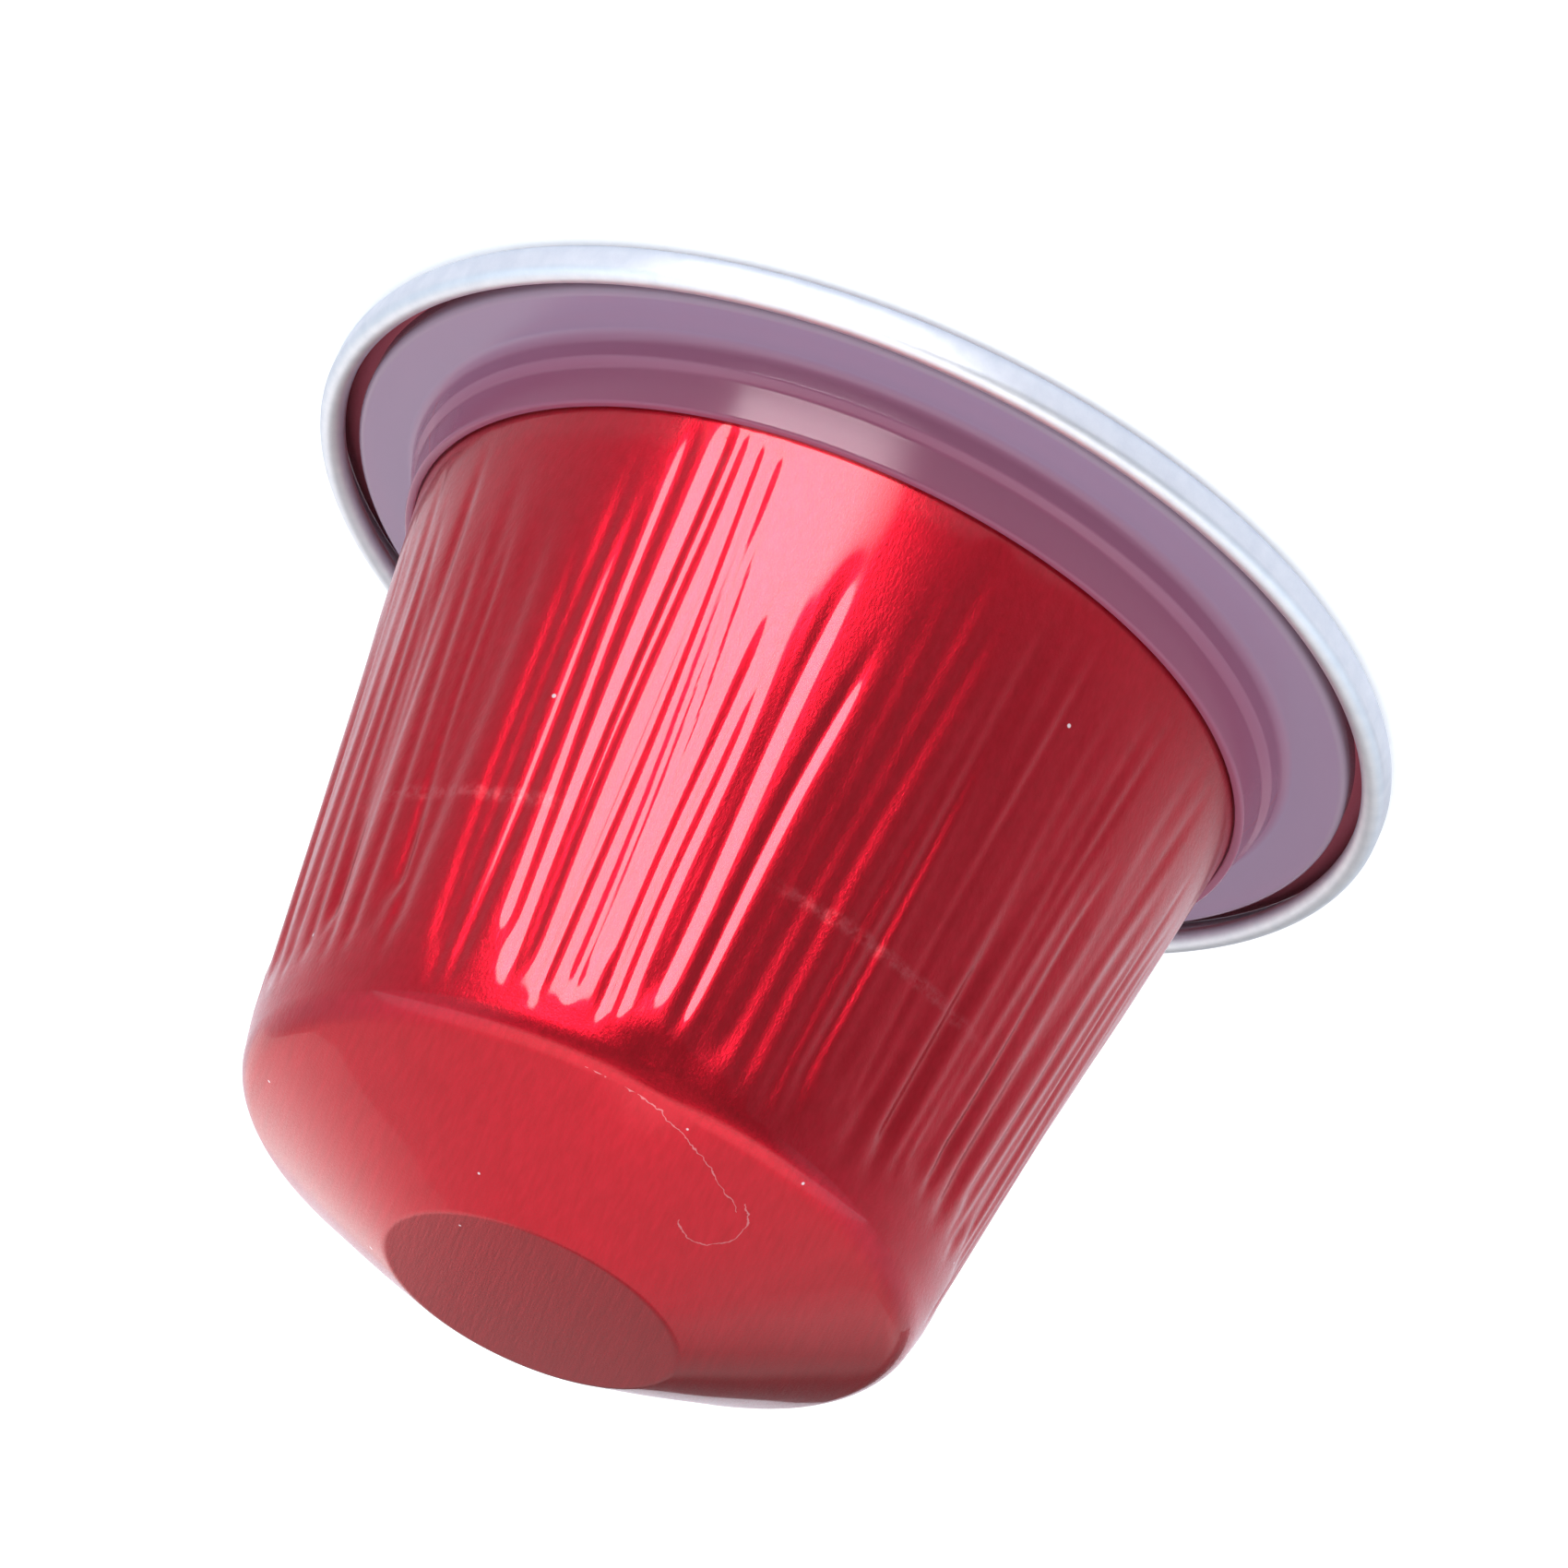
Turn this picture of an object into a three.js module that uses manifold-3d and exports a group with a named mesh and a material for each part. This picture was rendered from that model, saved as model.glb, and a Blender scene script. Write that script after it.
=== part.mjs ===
// A filled and sealed coffee pod of drawn aluminium, standing on its lid with the nose up.
// Lengths are in millimetres and +Z is up. The origin is the centre of the lid foil's outer face,
// and the pod's axis of revolution is the Z axis.
import * as THREE from "three";
import { mergeVertices } from "three/addons/utils/BufferGeometryUtils.js";
import Module from "manifold-3d";

const wasm = await Module();
wasm.setup();

// Lid foil: a flat membrane, heat-sealed to the flange. Its edge ends short of the rim's bend.
const lidThickness = 0.08;
const lidMargin = 0.28;

// Sheet that the cup is drawn from, and its flange with the rolled edge. The flange is
// measured from the foot of the wall to the outside of the rim.
const sheetThickness = 0.14;
const rimDiameter = 37.0;
const flangeWidth = 3.89;
const flangeRoot = 1.0;
const curlHeight = 1.27;
const curlWidth = 0.8;
const curlBendRadius = 0.42;
const curlReturn = 0.14;

// Wall, shoulder, cone and flat nose of the cup, all given at the outside
const neckFilletRadius = 0.5;
const shoulderRadius = 11.41;
const shoulderHeight = 24.06;
const shoulderFilletRadius = 1.45;
const noseRadius = 4.95;
const noseHeight = 27.42;
const noseFilletRadius = 0.6;

// Drawing wrinkles: fine pleats that grow along the wall and die out at the shoulder. The
// start, full depth and fade are shares of the wall's height above the sealing ring.
const pleatCount = 72;
const pleatDepth = 0.16;
const pleatWander = 0.4;
const pleatStart = 0.12;
const pleatFull = 0.7;
const pleatFade = 0.9;

// Sealing ring: a silicone ring that lies on the flange and climbs the foot of the wall.
// It ends short of the rolled rim, so a strip of the flange shows between them.
const sealClearance = 0.51;
const sealThickness = 0.84;
const sealEdgeRadius = 0.26;
const collarHeight = 3.12;
const collarThickness = 0.35;
const beadHeight = 1.62;
const beadThickness = 0.56;
const beadSlope = 0.26;
const beadFilletRadius = 0.12;
const sealFilletRadius = 0.42;
const bondGap = 0.03;

// Facets round the axis, and along each kind of curve
const bodySides = 2 * Math.round(pleatCount);
const ringSides = 72;
const wallRows = 10;
const filletSteps = 3;
const shoulderSteps = 5;
const curlSteps = 6;

// Heights and radii that follow from the sizes above
const cupBase = lidThickness;
const flangeFace = cupBase + sheetThickness;
const rimRadius = rimDiameter / 2;
const wallFootRadius = rimRadius - flangeWidth;
const sealRadius = rimRadius - curlWidth - sealClearance;
const lidRadius = rimRadius - curlBendRadius - lidMargin;
const curlRadius = curlWidth / 2;
const curlTop = cupBase + curlHeight;
const wallSlope = (wallFootRadius - shoulderRadius) / (shoulderHeight - flangeFace);
const lipHeight = flangeFace + collarHeight;

const lacquer = new THREE.MeshStandardMaterial({
  color: 0xb3101c,
  metalness: 0.9,
  roughness: 0.3,
});
const silicone = new THREE.MeshStandardMaterial({
  color: 0xb49ab0,
  metalness: 0,
  roughness: 0.45,
});
const foil = new THREE.MeshStandardMaterial({
  color: 0xcfcfd6,
  metalness: 0.95,
  roughness: 0.35,
});

// Outside radius of the straight wall at a height.
function wallRadius(z) {
  return wallFootRadius - (z - flangeFace) * wallSlope;
}

function smooth(low, high, value) {
  const t = Math.min(1, Math.max(0, (value - low) / (high - low)));
  return t * t * (3 - 2 * t);
}

// Points of an arc about a centre, from one angle to another, both ends included.
function arc(centre, radius, from, to, steps) {
  const points = [];
  for (let i = 0; i <= steps; i++) {
    const angle = from + ((to - from) * i) / steps;
    points.push(
      new THREE.Vector2(
        centre.x + radius * Math.cos(angle),
        centre.y + radius * Math.sin(angle),
      ),
    );
  }
  return points;
}

// The round that replaces a corner between its two neighbours.
function fillet(before, corner, after, radius, steps) {
  const toBefore = before.clone().sub(corner).normalize();
  const toAfter = after.clone().sub(corner).normalize();
  const half = Math.acos(toBefore.dot(toAfter)) / 2;
  const reach = radius / Math.tan(half);
  const start = corner.clone().addScaledVector(toBefore, reach);
  const end = corner.clone().addScaledVector(toAfter, reach);
  const middle = toBefore.clone().add(toAfter).normalize();
  const centre = corner.clone().addScaledVector(middle, radius / Math.sin(half));
  const from = Math.atan2(start.y - centre.y, start.x - centre.x);
  let to = Math.atan2(end.y - centre.y, end.x - centre.x);
  if (to - from > Math.PI) to -= 2 * Math.PI;
  if (from - to > Math.PI) to += 2 * Math.PI;
  return arc(centre, radius, from, to, steps);
}

// The inside corner between the flange's face and the wall, moved off the metal by a gap.
// It runs from the flange to the wall.
function neckCorner(gap) {
  const tilt = Math.atan(wallSlope);
  const corner = new THREE.Vector2(wallFootRadius + gap / Math.cos(tilt), flangeFace);
  const along = new THREE.Vector2(corner.x - wallSlope, flangeFace + 1);
  const out = new THREE.Vector2(corner.x + 1, flangeFace);
  return fillet(out, corner, along, neckFilletRadius, filletSteps);
}

// A solid of revolution about Z. A closed profile's last point repeats its first.
function revolve(profile, sides) {
  return new THREE.LatheGeometry(profile, sides).rotateX(Math.PI / 2);
}

// How far the pleats have grown at a height, from none to full.
function pleatGrowth(height) {
  const share = (height - lipHeight) / (shoulderHeight - lipHeight);
  return smooth(pleatStart, pleatFull, share) * (1 - smooth(pleatFade, 1, share));
}

// Presses the pleats into a revolved body. Every second side moves towards the axis. Their
// depth and their line drift round the cup, as they do where thin sheet is drawn dry.
function pressPleats(geometry) {
  const position = geometry.getAttribute("position");
  const point = new THREE.Vector3();
  for (let i = 0; i < position.count; i++) {
    point.fromBufferAttribute(position, i);
    const radius = Math.hypot(point.x, point.y);
    if (radius < shoulderRadius / 2) continue;
    const turns = Math.atan2(point.x, -point.y) / (2 * Math.PI);
    const side = Math.round((turns + 1) * bodySides) % bodySides;
    const turn = (2 * Math.PI * side) / bodySides;
    const growth = pleatGrowth(point.z);
    const drift = 0.7 + 0.2 * Math.sin(3 * turn + 1) + 0.1 * Math.sin(11 * turn);
    const depth = (side % 2) * pleatDepth * growth * drift;
    const wander = 0.6 * Math.sin(5 * turn + 1) + 0.4 * Math.sin(13 * turn);
    const angle = turn + (pleatWander * growth * wander) / radius;
    const pressed = radius - depth;
    position.setXYZ(i, pressed * Math.sin(angle), -pressed * Math.cos(angle), point.z);
  }
  return geometry;
}

// Profile of the sealed body from the lid side on the axis to the nose on the axis.
function bodyProfile() {
  const foot = neckCorner(0);
  const wallEnd = new THREE.Vector2(shoulderRadius, shoulderHeight);
  const noseEdge = new THREE.Vector2(noseRadius, noseHeight);
  const noseCentre = new THREE.Vector2(0, noseHeight);
  const shoulder = fillet(foot.at(-1), wallEnd, noseEdge, shoulderFilletRadius, shoulderSteps);
  const nose = fillet(wallEnd, noseEdge, noseCentre, noseFilletRadius, filletSteps);
  const wall = [];
  for (let i = 0; i < wallRows; i++) {
    const z = THREE.MathUtils.lerp(lipHeight, shoulder[0].y, i / wallRows);
    wall.push(new THREE.Vector2(wallRadius(z), z));
  }
  return [
    new THREE.Vector2(0, cupBase),
    new THREE.Vector2(foot[0].x, cupBase),
    ...foot,
    ...wall,
    ...shoulder,
    ...nose,
    noseCentre,
  ];
}

// Closed section of the flange with its edge rolled towards the nose and back inwards.
function flangeProfile() {
  const innerRadius = wallFootRadius - flangeRoot;
  const bend = new THREE.Vector2(rimRadius - curlBendRadius, cupBase + curlBendRadius);
  const roll = new THREE.Vector2(rimRadius - curlRadius, curlTop - curlRadius);
  const cutHeight = roll.y - curlReturn;
  const cutRadius = rimRadius - curlWidth;
  const start = new THREE.Vector2(innerRadius, cupBase);
  return [
    start,
    ...arc(bend, curlBendRadius, -Math.PI / 2, 0, filletSteps),
    ...arc(roll, curlRadius, 0, Math.PI, curlSteps),
    new THREE.Vector2(cutRadius, cutHeight),
    new THREE.Vector2(cutRadius + sheetThickness, cutHeight),
    ...arc(roll, curlRadius - sheetThickness, Math.PI, 0, curlSteps),
    ...arc(bend, curlBendRadius - sheetThickness, 0, -Math.PI / 2, filletSteps),
    new THREE.Vector2(innerRadius, flangeFace),
    start.clone(),
  ];
}

// Closed section of the sealing ring: the land on the flange, a bead at the foot of the
// collar, and the collar up the wall to its lip.
function sealProfile() {
  const land = flangeFace + sealThickness;
  const edge = new THREE.Vector2(sealRadius - sealEdgeRadius, land - sealEdgeRadius);
  const beadTop = flangeFace + beadHeight;
  const collarFoot = beadTop + beadSlope;
  const landCorner = new THREE.Vector2(wallRadius(land) + beadThickness, land);
  const bead = new THREE.Vector2(wallRadius(beadTop) + beadThickness, beadTop);
  const foot = new THREE.Vector2(wallRadius(collarFoot) + collarThickness, collarFoot);
  const landEdge = new THREE.Vector2(edge.x, land);
  const start = new THREE.Vector2(sealRadius, flangeFace);
  return [
    start,
    ...arc(edge, sealEdgeRadius, 0, Math.PI / 2, filletSteps),
    ...fillet(landEdge, landCorner, bead, sealFilletRadius, filletSteps),
    ...fillet(landCorner, bead, foot, beadFilletRadius, filletSteps),
    foot,
    new THREE.Vector2(wallRadius(lipHeight) + collarThickness, lipHeight),
    new THREE.Vector2(wallRadius(lipHeight) + bondGap, lipHeight),
    ...neckCorner(bondGap).reverse(),
    start.clone(),
  ];
}

// Flat disc of the lid foil, from the axis round its edge and back.
function lidProfile() {
  return [
    new THREE.Vector2(0, 0),
    new THREE.Vector2(lidRadius, 0),
    new THREE.Vector2(lidRadius, lidThickness),
    new THREE.Vector2(0, lidThickness),
  ];
}

// A closed geometry as a solid that can be joined or cut.
function solidOf(geometry) {
  const bare = geometry.clone();
  bare.deleteAttribute("normal");
  bare.deleteAttribute("uv");
  const merged = mergeVertices(bare, 1e-4);
  return new wasm.Manifold(
    new wasm.Mesh({
      numProp: 3,
      vertProperties: merged.attributes.position.array,
      triVerts: new Uint32Array(merged.index.array),
    }),
  );
}

function geometryOf(solid) {
  const mesh = solid.getMesh();
  const geometry = new THREE.BufferGeometry();
  geometry.setAttribute("position", new THREE.BufferAttribute(mesh.vertProperties, 3));
  geometry.setIndex(new THREE.BufferAttribute(mesh.triVerts, 1));
  geometry.computeVertexNormals();
  return geometry;
}

function namedMesh(name, geometry, material) {
  const mesh = new THREE.Mesh(geometry, material);
  mesh.name = name;
  return mesh;
}

// The cup is one drawn sheet. It is sealed and full, so it is solid inside.
function sealedCup() {
  const body = solidOf(pressPleats(revolve(bodyProfile(), bodySides)));
  const flange = solidOf(revolve(flangeProfile(), ringSides));
  return namedMesh("sealed_cup", geometryOf(body.add(flange)), lacquer);
}

function sealingRing() {
  return namedMesh("sealing_ring", revolve(sealProfile(), ringSides), silicone);
}

function lidFoil() {
  return namedMesh("lid_foil", revolve(lidProfile(), ringSides), foil);
}

const pod = new THREE.Group();
pod.add(sealedCup(), sealingRing(), lidFoil());

export default pod;
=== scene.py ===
# A sealed coffee pod of red lacquered aluminium, standing on its lid with the nose up.
# The pod's sizes are in millimetres, and Blender's units are metres.
import math
import random

import bpy
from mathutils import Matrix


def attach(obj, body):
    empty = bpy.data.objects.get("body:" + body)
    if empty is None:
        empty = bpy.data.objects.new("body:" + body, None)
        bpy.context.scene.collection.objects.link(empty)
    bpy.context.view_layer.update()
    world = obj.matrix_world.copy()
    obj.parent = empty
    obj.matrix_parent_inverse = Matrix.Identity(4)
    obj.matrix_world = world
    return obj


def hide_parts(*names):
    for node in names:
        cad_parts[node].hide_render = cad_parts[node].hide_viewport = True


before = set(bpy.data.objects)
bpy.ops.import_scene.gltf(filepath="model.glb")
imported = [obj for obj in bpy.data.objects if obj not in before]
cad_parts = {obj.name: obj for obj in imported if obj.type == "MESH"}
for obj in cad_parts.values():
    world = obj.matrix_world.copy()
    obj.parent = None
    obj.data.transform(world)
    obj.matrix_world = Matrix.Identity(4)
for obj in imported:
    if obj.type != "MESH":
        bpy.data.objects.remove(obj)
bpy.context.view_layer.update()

MM = 0.001

# Sizes of the pod, as in the solid model
RIM_RADIUS = 18.5
CURL_WIDTH = 0.8
CURL_TOP = 1.35
CURL_BEND = 0.42
CURL_RETURN = 0.14
SHEET = 0.14
LID_THICKNESS = 0.08
LID_RADIUS = 17.8
FLANGE_FACE = 0.22
WALL_FOOT = 14.61
NECK_FILLET = 0.5
SHOULDER_RADIUS = 11.41
SHOULDER_HEIGHT = 24.06
SHOULDER_FILLET = 1.45
NOSE_RADIUS = 4.95
NOSE_HEIGHT = 27.42
NOSE_FILLET = 0.6
SEAL_RADIUS = 17.19
SEAL_LAND = 1.06
SEAL_EDGE = 0.26
SEAL_LIP = 3.34
COLLAR_THICKNESS = 0.35
BEAD_TOP = 1.84
BEAD_THICKNESS = 0.56
BOND_GAP = 0.03
WALL_SLOPE = (WALL_FOOT - SHOULDER_RADIUS) / (SHOULDER_HEIGHT - FLANGE_FACE)

# Rounds of the sealing ring, and how far its bead's foot lies above the bead
LAND_FILLET = 0.42
BEAD_FILLET = 0.18
COLLAR_FILLET = 0.25
LIP_OUTER_FILLET = 0.12
LIP_INNER_FILLET = 0.08
BEAD_FOOT_RISE = 0.26

# Small forms that the solid model leaves out
NOSE_DOME = 0.004  # fall of the nose disc, in mm for each square mm from its middle
NOSE_DOME_END = 4.5
PLEAT_DEPTH = 0.05
# the wall leans in before the shoulder, and the cone takes that up
LEAN_RATE = 0.045
LEAN_START = 21.9
LEAN_END = 23.3
LEAN_FADE = (24.0, 26.2)
# what is pressed in ends below this height and outside this radius
PRESS_TOP = 27
PRESS_INNER = 6
DEEPEST_PRESS = 0.6
LEAST_PRESS = 0.0004
BOX_MARGIN = 0.0002  # keeps rounding from taking the rim past the solid's box

CUP_SIDES = 960
RING_SIDES = 240


def wall_radius(z):
    return WALL_FOOT - (z - FLANGE_FACE) * WALL_SLOPE


def smooth_step(low, high, value):
    t = min(1.0, max(0.0, (value - low) / (high - low)))
    return t * t * (3 - 2 * t)


# Profiles: points of (radius, height)


def arc(centre, radius, start, end, steps):
    """Points of an arc, its angles in degrees."""
    points = []
    for i in range(steps + 1):
        angle = math.radians(start + (end - start) * i / steps)
        points.append(
            (centre[0] + radius * math.cos(angle), centre[1] + radius * math.sin(angle))
        )
    return points


def fillet(before, corner, after, radius, steps):
    """The round that replaces a corner between its two neighbours."""
    ax, ay = before[0] - corner[0], before[1] - corner[1]
    bx, by = after[0] - corner[0], after[1] - corner[1]
    a, b = math.hypot(ax, ay), math.hypot(bx, by)
    ax, ay, bx, by = ax / a, ay / a, bx / b, by / b
    half = math.acos(ax * bx + ay * by) / 2
    reach = radius / math.tan(half)
    mx, my = ax + bx, ay + by
    m = math.hypot(mx, my)
    depth = radius / math.sin(half)
    cx, cy = corner[0] + mx / m * depth, corner[1] + my / m * depth
    sx, sy = corner[0] + ax * reach - cx, corner[1] + ay * reach - cy
    ex, ey = corner[0] + bx * reach - cx, corner[1] + by * reach - cy
    start = math.degrees(math.atan2(sy, sx))
    end = math.degrees(math.atan2(ey, ex))
    while end - start > 180:
        end -= 360
    while start - end > 180:
        end += 360
    return arc((cx, cy), radius, start, end, steps)


def straight(start, end, steps):
    """Points from start towards end, without the end itself."""
    points = []
    for i in range(steps):
        t = i / steps
        points.append(
            (start[0] + (end[0] - start[0]) * t, start[1] + (end[1] - start[1]) * t)
        )
    return points


# Modelling: a profile is drawn point by point and spun round the pod's axis


def turned(name, profile, sides):
    """A piece turned from its profile."""
    bpy.ops.object.select_all(action="DESELECT")
    first = profile[0]
    bpy.ops.mesh.primitive_plane_add(size=MM, location=(0, 0, 0))
    piece = bpy.context.object
    piece.name = name
    piece.data.name = name
    bpy.ops.object.mode_set(mode="EDIT")
    bpy.ops.mesh.select_all(action="SELECT")
    bpy.ops.mesh.merge(type="CENTER")
    bpy.ops.transform.translate(value=(first[0] * MM, 0, first[1] * MM))
    for here, there in zip(profile, profile[1:]):
        step = ((there[0] - here[0]) * MM, 0, (there[1] - here[1]) * MM)
        bpy.ops.mesh.extrude_vertices_move(TRANSFORM_OT_translate={"value": step})
    bpy.ops.mesh.select_all(action="SELECT")
    bpy.ops.mesh.spin(
        steps=sides,
        angle=2 * math.pi,
        center=(0, 0, 0),
        axis=(0, 0, 1),
        use_auto_merge=True,
    )
    bpy.ops.mesh.select_all(action="SELECT")
    bpy.ops.mesh.remove_doubles(threshold=0.0005 * MM)
    bpy.ops.mesh.normals_make_consistent(inside=False)
    bpy.ops.object.mode_set(mode="OBJECT")
    bpy.ops.object.shade_smooth()
    return piece


def placed(piece, slot, *nodes):
    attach(piece, "root")
    if nodes:
        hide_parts(*nodes)


# Node helpers


def new_material(name):
    material = bpy.data.materials.new(name)
    material.use_nodes = True
    nodes = material.node_tree.nodes
    return material, nodes, material.node_tree.links, nodes["Principled BSDF"]


def stage_material(name):
    """A material that holds only its output, for the floor and the cards."""
    material = bpy.data.materials.new(name)
    material.use_nodes = True
    nodes, links = material.node_tree.nodes, material.node_tree.links
    nodes.clear()
    output = nodes.new("ShaderNodeOutputMaterial")
    return material, nodes, links, output.inputs["Surface"]


def math_node(nodes, links, operation, a, b=None):
    node = nodes.new("ShaderNodeMath")
    node.operation = operation
    for socket, value in ((0, a), (1, b)):
        if value is None:
            continue
        if isinstance(value, (int, float)):
            node.inputs[socket].default_value = value
        else:
            links.new(value, node.inputs[socket])
    return node.outputs[0]


def map_range(nodes, links, value, low, high, out_low=0.0, out_high=1.0):
    node = nodes.new("ShaderNodeMapRange")
    node.interpolation_type = "SMOOTHSTEP"
    links.new(value, node.inputs["Value"])
    node.inputs["From Min"].default_value = low
    node.inputs["From Max"].default_value = high
    node.inputs["To Min"].default_value = out_low
    node.inputs["To Max"].default_value = out_high
    return node.outputs["Result"]


def noise(nodes, links, vector, scale, detail, roughness=0.5):
    node = nodes.new("ShaderNodeTexNoise")
    node.inputs["Scale"].default_value = scale
    node.inputs["Detail"].default_value = detail
    node.inputs["Roughness"].default_value = roughness
    links.new(vector, node.inputs["Vector"])
    return node.outputs["Fac"]


def in_millimetres(nodes, links, scale=(1, 1, 1)):
    """Object coordinates in millimetres, stretched by a scale."""
    place = nodes.new("ShaderNodeTexCoord")
    mapping = nodes.new("ShaderNodeMapping")
    mapping.inputs["Scale"].default_value = [s / MM for s in scale]
    links.new(place.outputs["Object"], mapping.inputs["Vector"])
    return mapping.outputs["Vector"]


def coordinates(nodes, links, vector):
    """The x, y and z of a vector."""
    node = nodes.new("ShaderNodeSeparateXYZ")
    links.new(vector, node.inputs["Vector"])
    return node.outputs["X"], node.outputs["Y"], node.outputs["Z"]


def blend(nodes, links, share, first, second):
    """A mix of two colours. The first may come from another node."""
    node = nodes.new("ShaderNodeMix")
    node.data_type = "RGBA"
    links.new(share, node.inputs["Factor"])
    if isinstance(first, tuple):
        node.inputs["A"].default_value = (*first, 1)
    else:
        links.new(first, node.inputs["A"])
    node.inputs["B"].default_value = (*second, 1)
    return node.outputs["Result"]


def ramp(nodes, links, value, stops):
    node = nodes.new("ShaderNodeValToRGB")
    elements = node.color_ramp.elements
    while len(elements) < len(stops):
        elements.new(0.5)
    for element, (position, colour) in zip(elements, stops):
        element.position = position
        element.color = (*colour, 1)
    links.new(value, node.inputs["Fac"])
    return node.outputs["Color"]


def grey_ramp(nodes, links, value, stops):
    greys = [(position, (grey, grey, grey)) for position, grey in stops]
    return ramp(nodes, links, value, greys)


def bump(nodes, links, height, strength, distance, normal=None):
    node = nodes.new("ShaderNodeBump")
    node.inputs["Strength"].default_value = strength
    node.inputs["Distance"].default_value = distance
    links.new(height, node.inputs["Height"])
    if normal is not None:
        links.new(normal, node.inputs["Normal"])
    return node.outputs["Normal"]


def distance_from_axis(nodes, links, x, y):
    squares = math_node(
        nodes,
        links,
        "ADD",
        math_node(nodes, links, "MULTIPLY", x, x),
        math_node(nodes, links, "MULTIPLY", y, y),
    )
    return math_node(nodes, links, "SQRT", squares)


def dust_specks(nodes, links, vector):
    """A few tiny pale specks: the centres of some of the cells of a pattern."""
    cells = nodes.new("ShaderNodeTexVoronoi")
    cells.inputs["Scale"].default_value = 0.55
    links.new(vector, cells.inputs["Vector"])
    spot = map_range(nodes, links, cells.outputs["Distance"], 0.045, 0.03)
    pick = nodes.new("ShaderNodeSeparateColor")
    links.new(cells.outputs["Color"], pick.inputs["Color"])
    chosen = math_node(nodes, links, "GREATER_THAN", pick.outputs["Red"], 0.6)
    return math_node(nodes, links, "MULTIPLY", spot, chosen)


def curly_fibre(nodes, links, vector, x, y, z):
    """A hair of dust that lies on the cone: a long arc that ends in a small loop.
    Each arc is its centre and radius in mm, its middle and half span in degrees, and
    how far it sways."""
    cone_start = 24.2
    paleness = 0.24
    curl = noise(nodes, links, vector, 1.4, 3, 0.6)
    curl = math_node(nodes, links, "SUBTRACT", curl, 0.5)
    seen = None
    for cx, cy, radius, middle, span, sway in (
        (1.4, -3.0, 7.77, -115, 25.5, 0.5),
        (-4.03, -7.5, 1.0, 124, 106, 0.5),
    ):
        dx = math_node(nodes, links, "SUBTRACT", x, cx)
        dy = math_node(nodes, links, "SUBTRACT", y, cy)
        off = math_node(
            nodes, links, "SUBTRACT", distance_from_axis(nodes, links, dx, dy), radius
        )
        wander = math_node(nodes, links, "MULTIPLY", curl, sway)
        off = math_node(nodes, links, "ADD", off, wander)
        off = math_node(nodes, links, "ABSOLUTE", off)
        line = map_range(nodes, links, off, 0.022, 0.008)
        # turned so that the arc's middle lies at angle zero
        turn = math.radians(middle)
        along = math_node(
            nodes,
            links,
            "ADD",
            math_node(nodes, links, "MULTIPLY", dx, math.cos(turn)),
            math_node(nodes, links, "MULTIPLY", dy, math.sin(turn)),
        )
        beside = math_node(
            nodes,
            links,
            "SUBTRACT",
            math_node(nodes, links, "MULTIPLY", dy, math.cos(turn)),
            math_node(nodes, links, "MULTIPLY", dx, math.sin(turn)),
        )
        angle = math_node(nodes, links, "ARCTAN2", beside, along)
        angle = math_node(nodes, links, "ABSOLUTE", angle)
        within = math_node(nodes, links, "LESS_THAN", angle, math.radians(span))
        line = math_node(nodes, links, "MULTIPLY", line, within)
        seen = line if seen is None else math_node(nodes, links, "MAXIMUM", seen, line)
    on_cone = math_node(nodes, links, "GREATER_THAN", z, cone_start)
    seen = math_node(nodes, links, "MULTIPLY", seen, on_cone)
    return math_node(nodes, links, "MULTIPLY", seen, paleness)


def scuffed_line(nodes, links, vector, z, azimuth):
    """A faint broken line round the wall, on both sides of the front."""
    line_height = 16.7
    height = math_node(nodes, links, "SUBTRACT", z, line_height)
    height = math_node(nodes, links, "ABSOLUTE", height)
    line = map_range(nodes, links, height, 0.34, 0.08)
    off = math_node(nodes, links, "SUBTRACT", azimuth, math.radians(10))
    off = math_node(nodes, links, "ABSOLUTE", off)
    sides = map_range(nodes, links, off, math.radians(14), math.radians(22))
    ends = map_range(nodes, links, off, math.radians(62), math.radians(48))
    broken = noise(nodes, links, vector, 3.2, 4, 0.7)
    broken = map_range(nodes, links, broken, 0.35, 0.7)
    scuff = math_node(nodes, links, "MULTIPLY", line, sides)
    scuff = math_node(nodes, links, "MULTIPLY", scuff, ends)
    return math_node(nodes, links, "MULTIPLY", scuff, broken)


# Materials


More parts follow.
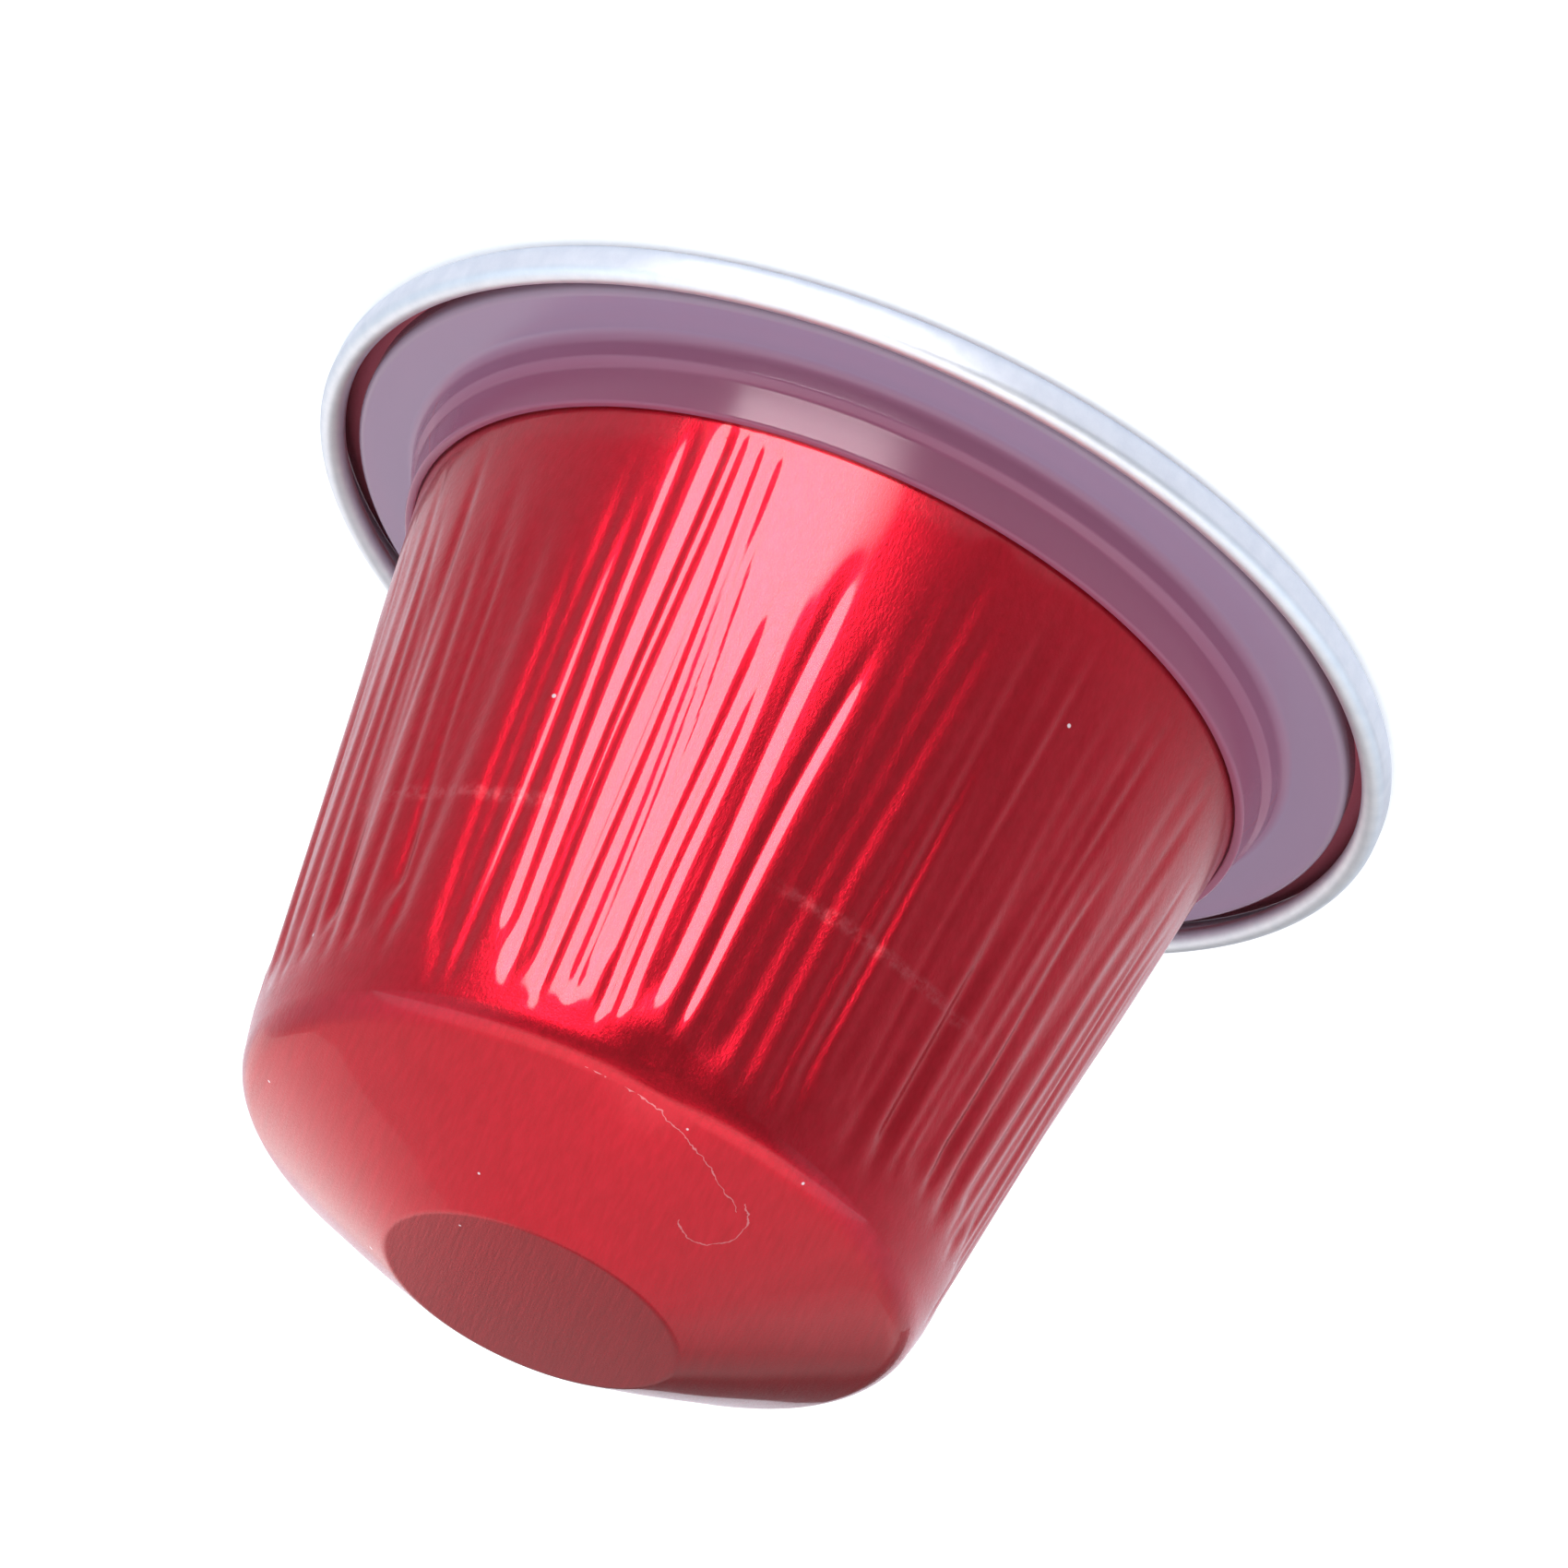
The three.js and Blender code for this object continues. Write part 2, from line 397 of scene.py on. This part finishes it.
def red_lacquer():
    material, nodes, links, shader = new_material("red_lacquer")
    shader.inputs["Coat Weight"].default_value = 0.5
    shader.inputs["Coat Roughness"].default_value = 0.06
    shader.inputs["Coat IOR"].default_value = 1.5
    plain = in_millimetres(nodes, links)
    drawn = in_millimetres(nodes, links, (6, 0.35, 2.5))
    streaks = noise(nodes, links, drawn, 1, 4, 0.6)
    colour = ramp(
        nodes,
        links,
        streaks,
        [(0.3, (0.42, 0.004, 0.014)), (0.7, (0.50, 0.006, 0.020))],
    )
    x, y, z = coordinates(nodes, links, plain)
    reach = distance_from_axis(nodes, links, x, y)
    azimuth = math_node(
        nodes, links, "ARCTAN2", x, math_node(nodes, links, "MULTIPLY", y, -1)
    )
    scuff = scuffed_line(nodes, links, plain, z, azimuth)
    dust = dust_specks(nodes, links, plain)
    worn = math_node(nodes, links, "MULTIPLY", scuff, 0.07)
    worn = math_node(nodes, links, "MAXIMUM", worn, dust)
    fibre = curly_fibre(nodes, links, plain, x, y, z)
    worn = math_node(nodes, links, "MAXIMUM", worn, fibre)
    colour = blend(nodes, links, worn, colour, (0.80, 0.62, 0.66))
    # painted light: in the shaded gap between the ring and the rim the flange is made
    # paler and less metallic, so that the gap looks lit
    flange = (16.5, 17.1)
    outer = map_range(nodes, links, reach, *flange)
    colour = blend(nodes, links, outer, colour, (0.62, 0.13, 0.19))
    links.new(colour, shader.inputs["Base Color"])
    # painted light: less metallic in the gap between ring and rim, and bare where the
    # dust specks lie
    metal = map_range(nodes, links, reach, *flange, 1.0, 0.3)
    bare = math_node(nodes, links, "SUBTRACT", 1, dust)
    metal = math_node(nodes, links, "MULTIPLY", metal, bare)
    links.new(metal, shader.inputs["Metallic"])
    grain = noise(nodes, links, plain, 14, 3, 0.6)
    roughness = map_range(nodes, links, grain, 0.3, 0.7, 0.32, 0.42)
    duller = math_node(nodes, links, "MULTIPLY", scuff, 0.12)
    roughness = math_node(nodes, links, "ADD", roughness, duller)
    links.new(roughness, shader.inputs["Roughness"])
    across = in_millimetres(nodes, links, (11, 0.8, 4))
    brushed = noise(nodes, links, across, 1, 3, 0.6)
    normal = bump(nodes, links, brushed, 0.55, 0.02 * MM)
    fine = bump(nodes, links, grain, 0.35, 0.02 * MM, normal)
    links.new(fine, shader.inputs["Normal"])
    return material


def bare_aluminium():
    material, nodes, links, shader = new_material("bare_aluminium")
    shader.inputs["Metallic"].default_value = 1.0
    plain = in_millimetres(nodes, links)
    cloud = noise(nodes, links, plain, 1.5, 3)
    colour = ramp(
        nodes,
        links,
        cloud,
        [(0.3, (0.70, 0.71, 0.76)), (0.7, (0.77, 0.77, 0.81))],
    )
    links.new(colour, shader.inputs["Base Color"])
    grain = noise(nodes, links, plain, 12, 3, 0.6)
    roughness = map_range(nodes, links, grain, 0.3, 0.7, 0.48, 0.58)
    links.new(roughness, shader.inputs["Roughness"])
    normal = bump(nodes, links, grain, 0.15, 0.02 * MM)
    links.new(normal, shader.inputs["Normal"])
    return material


def silicone():
    material, nodes, links, shader = new_material("milky_silicone")
    shader.inputs["Metallic"].default_value = 0.0
    shader.inputs["Alpha"].default_value = 0.7
    shader.inputs["Roughness"].default_value = 0.2
    shader.inputs["IOR"].default_value = 1.42
    plain = in_millimetres(nodes, links)
    x, y, _ = coordinates(nodes, links, plain)
    reach = distance_from_axis(nodes, links, x, y)
    colour = ramp(
        nodes,
        links,
        map_range(nodes, links, reach, 14.3, 17.3),
        [
            (0.0, (0.42, 0.12, 0.21)),
            (0.15, (0.43, 0.17, 0.28)),
            (0.3, (0.44, 0.31, 0.46)),
            (0.95, (0.43, 0.30, 0.45)),
            (1.0, (0.44, 0.33, 0.42)),
        ],
    )
    links.new(colour, shader.inputs["Base Color"])
    grain = noise(nodes, links, plain, 9, 3, 0.6)
    normal = bump(nodes, links, grain, 0.15, 0.02 * MM)
    links.new(normal, shader.inputs["Normal"])
    return material


# The cup: cone, shoulder, drawn wall, neck and flange as one sheet


def cup_profile():
    neck = (WALL_FOOT, FLANGE_FACE)
    shoulder = (SHOULDER_RADIUS, SHOULDER_HEIGHT)
    nose_edge = (NOSE_RADIUS, NOSE_HEIGHT)
    nose = fillet((0, NOSE_HEIGHT), nose_edge, shoulder, NOSE_FILLET, 5)
    bend = fillet(nose_edge, shoulder, neck, SHOULDER_FILLET, 10)
    foot = fillet(shoulder, neck, (WALL_FOOT + 1, FLANGE_FACE), NECK_FILLET, 4)
    # the nose disc falls away a little from its middle to the round of its edge
    dome = [(r, NOSE_HEIGHT - NOSE_DOME * r * r) for r in (0, 1.2, 2.4, 3.5)]
    nose = [(r, z - NOSE_DOME * NOSE_DOME_END * NOSE_DOME_END) for r, z in nose]
    flange_end = RIM_RADIUS - CURL_BEND
    return [
        *dome,
        *nose[:-1],
        *straight(nose[-1], bend[0], 9),
        *bend[:-1],
        *straight(bend[-1], foot[0], 58),
        *foot,
        (flange_end, FLANGE_FACE),
        (flange_end, LID_THICKNESS),
        (0, LID_THICKNESS),
    ]


# Folds in front, as (azimuth and height of the top end, azimuth and height of the
# bottom end, depth, half width), the azimuth in degrees from the -Y side towards +X,
# the rest in mm. The top end is the one by the seal.
FRONT_FOLDS = [
    (-9.8, 4.5, -6.6, 22.6, 0.060, 0.34),
    (-4.6, 7.5, -2.0, 22.6, 0.120, 0.27),
    (1.9, 5.5, 2.6, 22.0, 0.100, 0.29),
    (5.2, 7.0, 3.3, 22.4, 0.022, 0.14),
    (7.4, 9.5, 6.0, 23.0, 0.050, 0.17),
    (9.6, 7.5, 8.9, 23.2, 0.090, 0.22),
    (13.2, 6.0, 10.6, 21.4, 0.040, 0.14),
    (15.0, 5.0, 12.0, 21.8, 0.060, 0.14),
    (16.9, 1.0, 14.0, 22.8, 0.085, 0.22),
    (19.4, 1.0, 18.3, 23.2, 0.075, 0.19),
    (22.2, 1.0, 22.6, 22.2, 0.055, 0.16),
    (24.4, 0.5, 24.4, 22.8, 0.110, 0.28),
    (28.9, 1.5, 27.6, 21.5, 0.070, 0.28),
    (31.6, 5.0, 33.4, 23.2, 0.080, 0.28),
    (35.2, 4.0, 37.0, 23.4, 0.070, 0.30),
    (39.0, 6.5, 38.4, 22.4, 0.060, 0.26),
    (-13.8, 3.0, -10.4, 22.8, 0.120, 0.46),
    (-17.4, 4.0, -14.2, 23.2, 0.095, 0.34),
    (-21.8, 6.0, -19.6, 23.4, 0.110, 0.30),
    (-25.6, 3.5, -23.5, 23.2, 0.090, 0.32),
]

# Dents of the shoulder, as (azimuth, height, depth, half width, half height)
SHOULDER_DENTS = [
    (-4.2, 23.9, 0.30, 1.75, 0.85),
    (-7.0, 22.4, 0.12, 0.70, 0.80),
    (-0.6, 23.2, 0.10, 0.50, 0.35),
]


def side_folds():
    """The drawing wrinkles of the rest of the wall, laid out by a seeded draw."""
    rng = random.Random(11)
    found = []
    place = 42.0
    while place < 335.0:
        place += rng.uniform(1.8, 3.7)
        start = rng.uniform(3.0, 8.5)
        lean = rng.uniform(-2.4, 2.4)
        found.append(
            (
                place,
                start,
                place + lean,
                rng.uniform(20.5, 23.2),
                rng.uniform(0.05, 0.12),
                rng.uniform(0.20, 0.44),
            )
        )
    return found


def pressed_depth(azimuth, z, folds):
    """How deep the wall is pressed in at one place, in mm."""
    radius = wall_radius(z)
    around = math.radians(azimuth)
    share = (z - SEAL_LIP) / (SHOULDER_HEIGHT - SEAL_LIP)
    # a gentle unevenness with 9 and 23 waves round the cup
    swell = 0.5 + 0.25 * math.sin(9 * around + 1 + 2.5 * share)
    swell += 0.25 * math.sin(23 * around + 2 - 3 * share)
    grown = smooth_step(0.1, 0.6, share) * (1 - smooth_step(0.86, 0.97, share))
    depth = PLEAT_DEPTH * swell * grown
    lean = LEAN_RATE * max(0.0, min(z, LEAN_END) - LEAN_START) ** 2
    depth += lean * (1 - smooth_step(*LEAN_FADE, z))
    for top, low, bottom, high, deep, half in folds:
        if not low < z < high:
            continue
        t = (z - low) / (high - low)
        middle = top + (bottom - top) * t + 0.4 * math.sin(6 * t + 3 * top)
        off = (azimuth - middle + 180) % 360 - 180
        off = math.radians(off) * radius / half
        if abs(off) < 3:
            length = smooth_step(low, low + 4, z) * (1 - smooth_step(high - 1, high, z))
            depth += deep * length * math.exp(-off * off)
    for middle, height, deep, half, half_height in SHOULDER_DENTS:
        off = math.radians((azimuth - middle + 180) % 360 - 180) * radius / half
        up = (z - height) / half_height
        if abs(off) < 3 and abs(up) < 3:
            depth += deep * math.exp(-off * off - up * up)
    return depth


def press_wall(cup):
    """Weighs how deep each point of the wall is pressed in, and presses it."""
    # the folds that can reach each whole degree round the cup
    reach = 6
    near = {}
    for fold in FRONT_FOLDS + side_folds():
        first = math.floor(min(fold[0], fold[2])) - reach
        last = math.ceil(max(fold[0], fold[2])) + reach
        for degree in range(first, last + 1):
            near.setdefault(degree % 360, []).append(fold)
    group = cup.vertex_groups.new(name="pressed_in")
    for vertex in cup.data.vertices:
        x, y, z = (c / MM for c in vertex.co)
        if SEAL_LIP < z < PRESS_TOP and math.hypot(x, y) > PRESS_INNER:
            azimuth = math.degrees(math.atan2(x, -y))
            close = near.get(round(azimuth) % 360, [])
            depth = pressed_depth(azimuth, z, close)
            depth *= smooth_step(SEAL_LIP, SEAL_LIP + 0.8, z)
            if depth > LEAST_PRESS:
                weight = min(1.0, depth / DEEPEST_PRESS)
                group.add([vertex.index], weight, "REPLACE")
    press = cup.modifiers.new("pressed_in", "DISPLACE")
    press.vertex_group = group.name
    press.mid_level = 0
    press.strength = -DEEPEST_PRESS * MM
    press.direction = "NORMAL"
    bpy.context.view_layer.objects.active = cup
    bpy.ops.object.modifier_apply(modifier=press.name)
    cup.vertex_groups.clear()


# The rolled rim: the sheet's edge rolled over towards the nose and back inwards


def rim_profile():
    rim = RIM_RADIUS - BOX_MARGIN
    bend = (rim - CURL_BEND, LID_THICKNESS + CURL_BEND)
    roll = (rim - CURL_WIDTH / 2, CURL_TOP - CURL_WIDTH / 2)
    outer = CURL_WIDTH / 2
    inner = outer - SHEET
    cut = roll[1] - CURL_RETURN
    edge = rim - CURL_WIDTH
    start = (rim - CURL_BEND, LID_THICKNESS)
    return [
        *arc(bend, CURL_BEND, -90, 0, 8),
        *arc(roll, outer, 0, 180, 20),
        (edge, cut),
        (edge + SHEET, cut),
        *arc(roll, inner, 180, 0, 14),
        *arc(bend, CURL_BEND - SHEET, 0, -90, 8),
        start,
    ]


# The sealing ring: land on the flange, bead and collar


def seal_profile():
    edge = (SEAL_RADIUS - SEAL_EDGE, SEAL_LAND - SEAL_EDGE)
    land_corner = (wall_radius(SEAL_LAND) + BEAD_THICKNESS, SEAL_LAND)
    bead = (wall_radius(BEAD_TOP) + BEAD_THICKNESS, BEAD_TOP)
    foot_height = BEAD_TOP + BEAD_FOOT_RISE
    foot = (wall_radius(foot_height) + COLLAR_THICKNESS, foot_height)
    lip = (wall_radius(SEAL_LIP) + COLLAR_THICKNESS, SEAL_LIP)
    lip_inside = (wall_radius(SEAL_LIP) + BOND_GAP, SEAL_LIP)
    neck = (WALL_FOOT + BOND_GAP, FLANGE_FACE)
    start = (SEAL_RADIUS, FLANGE_FACE)
    return [
        start,
        *arc(edge, SEAL_EDGE, 0, 90, 8),
        *fillet((edge[0], SEAL_LAND), land_corner, bead, LAND_FILLET, 8),
        *fillet(land_corner, bead, foot, BEAD_FILLET, 6),
        *fillet(bead, foot, lip, COLLAR_FILLET, 6),
        *straight(foot, lip, 8)[2:],
        *fillet(foot, lip, lip_inside, LIP_OUTER_FILLET, 6),
        *fillet(lip, lip_inside, neck, LIP_INNER_FILLET, 4),
        *fillet(lip_inside, neck, start, NECK_FILLET, 6),
        start,
    ]


# The lid foil: a flat membrane


def lid_profile():
    return [
        *straight((0, 0), (LID_RADIUS, 0), 24),
        (LID_RADIUS, 0),
        (LID_RADIUS, LID_THICKNESS),
        (0, LID_THICKNESS),
    ]


cup = turned("drawn_cup", cup_profile(), CUP_SIDES)
press_wall(cup)
cup.data.materials.append(red_lacquer())
placed(cup, "red_lacquer", "sealed_cup")

aluminium = bare_aluminium()
rim = turned("rolled_rim", rim_profile(), RING_SIDES)
rim.data.materials.append(aluminium)
placed(rim, "bare_aluminium", "sealed_cup")

seal = turned("silicone_ring", seal_profile(), RING_SIDES)
seal.data.materials.append(silicone())
placed(seal, "silicone", "sealing_ring")

lid = turned("lid_membrane", lid_profile(), RING_SIDES)
lid.data.materials.append(aluminium)
placed(lid, "bare_aluminium", "lid_foil")


# The floor, two cards that lie on it in front of the pod, and one that stands behind.
# The cards show only in what the pod mirrors. Their sizes are in metres.
FLOOR_SIZE = 6
LIGHT_PANEL_SIZE = 0.8
BACK_CARD_SIZE = 0.26


def floor_material():
    material, nodes, links, surface = stage_material("pale_floor")
    diffuse = nodes.new("ShaderNodeBsdfDiffuse")
    diffuse.inputs["Color"].default_value = (0.8, 0.8, 0.8, 1)
    path = nodes.new("ShaderNodeLightPath")
    mirrored = math_node(
        nodes,
        links,
        "MAXIMUM",
        path.outputs["Is Glossy Ray"],
        path.outputs["Is Transmission Ray"],
    )
    seen = math_node(nodes, links, "MAXIMUM", path.outputs["Is Camera Ray"], mirrored)
    fill = math_node(nodes, links, "MULTIPLY", seen, 0.35)
    emission = nodes.new("ShaderNodeEmission")
    links.new(fill, emission.inputs["Strength"])
    # what the pod mirrors of the floor is a little cooler than what the camera sees
    tint = blend(nodes, links, mirrored, (1, 1, 1), (0.60, 0.74, 0.98))
    links.new(tint, emission.inputs["Color"])
    total = nodes.new("ShaderNodeAddShader")
    links.new(diffuse.outputs[0], total.inputs[0])
    links.new(emission.outputs[0], total.inputs[1])
    links.new(total.outputs[0], surface)
    return material


def card_material(name, lit, middle, spread, soft, near, far, rounding, flared):
    """A card that covers a sector in front of the pod, its edges soft. middle, spread,
    soft and flared are in degrees round the sector's point. near and far are the mm
    from that point, and rounding is how much of them its far corners lose."""
    material, nodes, links, surface = stage_material(name)
    point_x, point_y = 2.0, -10.0
    x, y, _ = coordinates(nodes, links, in_millimetres(nodes, links))
    x = math_node(nodes, links, "SUBTRACT", x, point_x)
    y = math_node(nodes, links, "SUBTRACT", point_y, y)
    angle = math_node(nodes, links, "ARCTAN2", x, y)
    reach = distance_from_axis(nodes, links, x, y)
    edge = math.radians(spread)
    blur = math.radians(soft)
    beyond = math_node(nodes, links, "SUBTRACT", angle, math.radians(middle))
    off = math_node(nodes, links, "ABSOLUTE", beyond)
    # next to the pod the card is wider and softer on its side towards -X
    close = map_range(nodes, links, reach, 44, 20)
    inner = math_node(nodes, links, "LESS_THAN", beyond, 0)
    flare = math_node(nodes, links, "MULTIPLY", close, inner)
    wider = math_node(nodes, links, "MULTIPLY", flare, math.radians(flared))
    off = math_node(nodes, links, "SUBTRACT", off, wider)
    softer = math_node(nodes, links, "ADD", wider, blur)
    across = nodes.new("ShaderNodeMapRange")
    across.interpolation_type = "SMOOTHSTEP"
    links.new(off, across.inputs["Value"])
    outside = math_node(nodes, links, "ADD", softer, edge)
    inside = math_node(nodes, links, "SUBTRACT", edge, softer)
    links.new(outside, across.inputs["From Min"])
    links.new(inside, across.inputs["From Max"])
    share = math_node(nodes, links, "DIVIDE", off, edge)
    bulge = math_node(nodes, links, "MULTIPLY", share, share)
    bulge = math_node(nodes, links, "MULTIPLY", bulge, rounding)
    pushed = math_node(nodes, links, "ADD", reach, bulge)
    start = map_range(nodes, links, reach, near, near + 3)
    end = map_range(nodes, links, pushed, far * 1.15, far * 0.85)
    mask = math_node(nodes, links, "MULTIPLY", across.outputs["Result"], start)
    mask = math_node(nodes, links, "MULTIPLY", mask, end)
    if lit:
        face = nodes.new("ShaderNodeEmission")
        face.inputs["Strength"].default_value = lit
    else:
        face = nodes.new("ShaderNodeBsdfDiffuse")
        face.inputs["Color"].default_value = (0.33, 0.33, 0.34, 1)
    clear = nodes.new("ShaderNodeBsdfTransparent")
    mix = nodes.new("ShaderNodeMixShader")
    links.new(mask, mix.inputs["Fac"])
    links.new(clear.outputs[0], mix.inputs[1])
    links.new(face.outputs[0], mix.inputs[2])
    links.new(mix.outputs[0], surface)
    return material


def back_card_material():
    """A card behind the pod that gets lighter towards +X."""
    material, nodes, links, surface = stage_material("back_card")
    x, y, _ = coordinates(nodes, links, in_millimetres(nodes, links))
    along = nodes.new("ShaderNodeMapRange")
    links.new(x, along.inputs["Value"])
    along.inputs["From Min"].default_value = -BACK_CARD_SIZE / 2 / MM
    along.inputs["From Max"].default_value = BACK_CARD_SIZE / 2 / MM
    greys = [
        (0.08, 0.66),
        (0.20, 0.24),
        (0.42, 0.28),
        (0.52, 0.26),
        (0.56, 0.46),
        (0.61, 0.95),
    ]
    strength = grey_ramp(nodes, links, along.outputs["Result"], greys)
    strength = math_node(nodes, links, "MULTIPLY", strength, 1.5)
    # its foot is dark towards -X
    foot = map_range(nodes, links, y, -75, -95)
    side = map_range(nodes, links, x, 5, -15)
    shade = math_node(nodes, links, "MULTIPLY", foot, side)
    shade = math_node(nodes, links, "MULTIPLY", shade, 0.85)
    shade = math_node(nodes, links, "SUBTRACT", 1, shade)
    strength = math_node(nodes, links, "MULTIPLY", strength, shade)
    face = nodes.new("ShaderNodeEmission")
    links.new(strength, face.inputs["Strength"])
    links.new(face.outputs[0], surface)
    return material


def stage_plane(name, size, location, material, tilt=0):
    """A square of the stage, its size and place in metres and its tilt in degrees."""
    bpy.ops.object.select_all(action="DESELECT")
    bpy.ops.mesh.primitive_plane_add(
        size=size, location=location, rotation=(math.radians(tilt), 0, 0)
    )
    plane = bpy.context.object
    plane.name = name
    plane.data.materials.append(material)
    return plane


stage_plane("floor", FLOOR_SIZE, (0, 0, 0), floor_material())
dark_card = stage_plane(
    "dark_card",
    FLOOR_SIZE,
    (0, 0, 0.05 * MM),
    card_material(
        "dark_card",
        lit=0,
        middle=0,
        spread=100,
        soft=85,
        near=20,
        far=4000,
        rounding=0,
        flared=0,
    ),
)
light_panel = stage_plane(
    "light_panel",
    LIGHT_PANEL_SIZE,
    (0, 0, 0.2 * MM),
    card_material(
        "light_panel",
        lit=14,
        middle=27.5,
        spread=19.5,
        soft=1.5,
        near=10,
        far=300,
        rounding=190,
        flared=9,
    ),
)
back_card = stage_plane(
    "back_card", BACK_CARD_SIZE, (0, 0.15, 0.132), back_card_material(), tilt=90
)
for card in (dark_card, light_panel, back_card):
    card.visible_camera = False
    card.visible_diffuse = False
    card.visible_shadow = False


# World: white for the camera. The pod mirrors a room that is dim in front, bright
# overhead and dimmer again behind.


def studio_world():
    world = bpy.data.worlds.new("studio")
    bpy.context.scene.world = world
    world.use_nodes = True
    nodes, links = world.node_tree.nodes, world.node_tree.links
    background = nodes["Background"]
    place = nodes.new("ShaderNodeTexCoord")
    x, y, z = coordinates(nodes, links, place.outputs["Generated"])
    # from 0 at the horizon in front, over the top, to 1 at the horizon behind
    front = math_node(nodes, links, "MULTIPLY", y, -1)
    over = math_node(nodes, links, "ARCTAN2", z, front)
    over = math_node(nodes, links, "DIVIDE", over, math.pi)
    greys = [
        (0.0, 0.09),
        (0.26, 0.12),
        (0.32, 0.74),
        (0.46, 0.64),
        (0.51, 0.40),
        (0.70, 0.36),
        (0.83, 0.20),
        (0.95, 0.33),
    ]
    sky = grey_ramp(nodes, links, over, greys)
    sky = math_node(nodes, links, "MULTIPLY", sky, 3.0)
    left = map_range(nodes, links, x, 0.42, 0.85)
    right = map_range(nodes, links, x, -0.55, -0.9)
    beside = math_node(nodes, links, "MAXIMUM", left, right)
    light = math_node(nodes, links, "MAXIMUM", sky, beside)
    path = nodes.new("ShaderNodeLightPath")
    shown = math_node(nodes, links, "MAXIMUM", light, path.outputs["Is Camera Ray"])
    links.new(shown, background.inputs["Strength"])
    # cooler at both sides, but not for the camera
    tinted = math_node(nodes, links, "MULTIPLY", beside, 0.8)
    unseen = math_node(nodes, links, "SUBTRACT", 1, path.outputs["Is Camera Ray"])
    tinted = math_node(nodes, links, "MULTIPLY", tinted, unseen)
    tint = blend(nodes, links, tinted, (1, 1, 1), (0.72, 0.94, 1.12))
    links.new(tint, background.inputs["Color"])


studio_world()

# Camera, fitted to the circles of rim, ring, shoulder and nose in the photograph
bpy.ops.object.camera_add(location=(0, -264.97 * MM, 140.82 * MM))
camera = bpy.context.object
camera.rotation_euler = [math.radians(a) for a in (-60.938, 22.139, -168.087)]
camera.data.lens = 213.08
camera.data.sensor_width = 36
camera.data.clip_start = 0.01
bpy.context.scene.camera = camera
bpy.context.scene.view_settings.view_transform = "Standard"
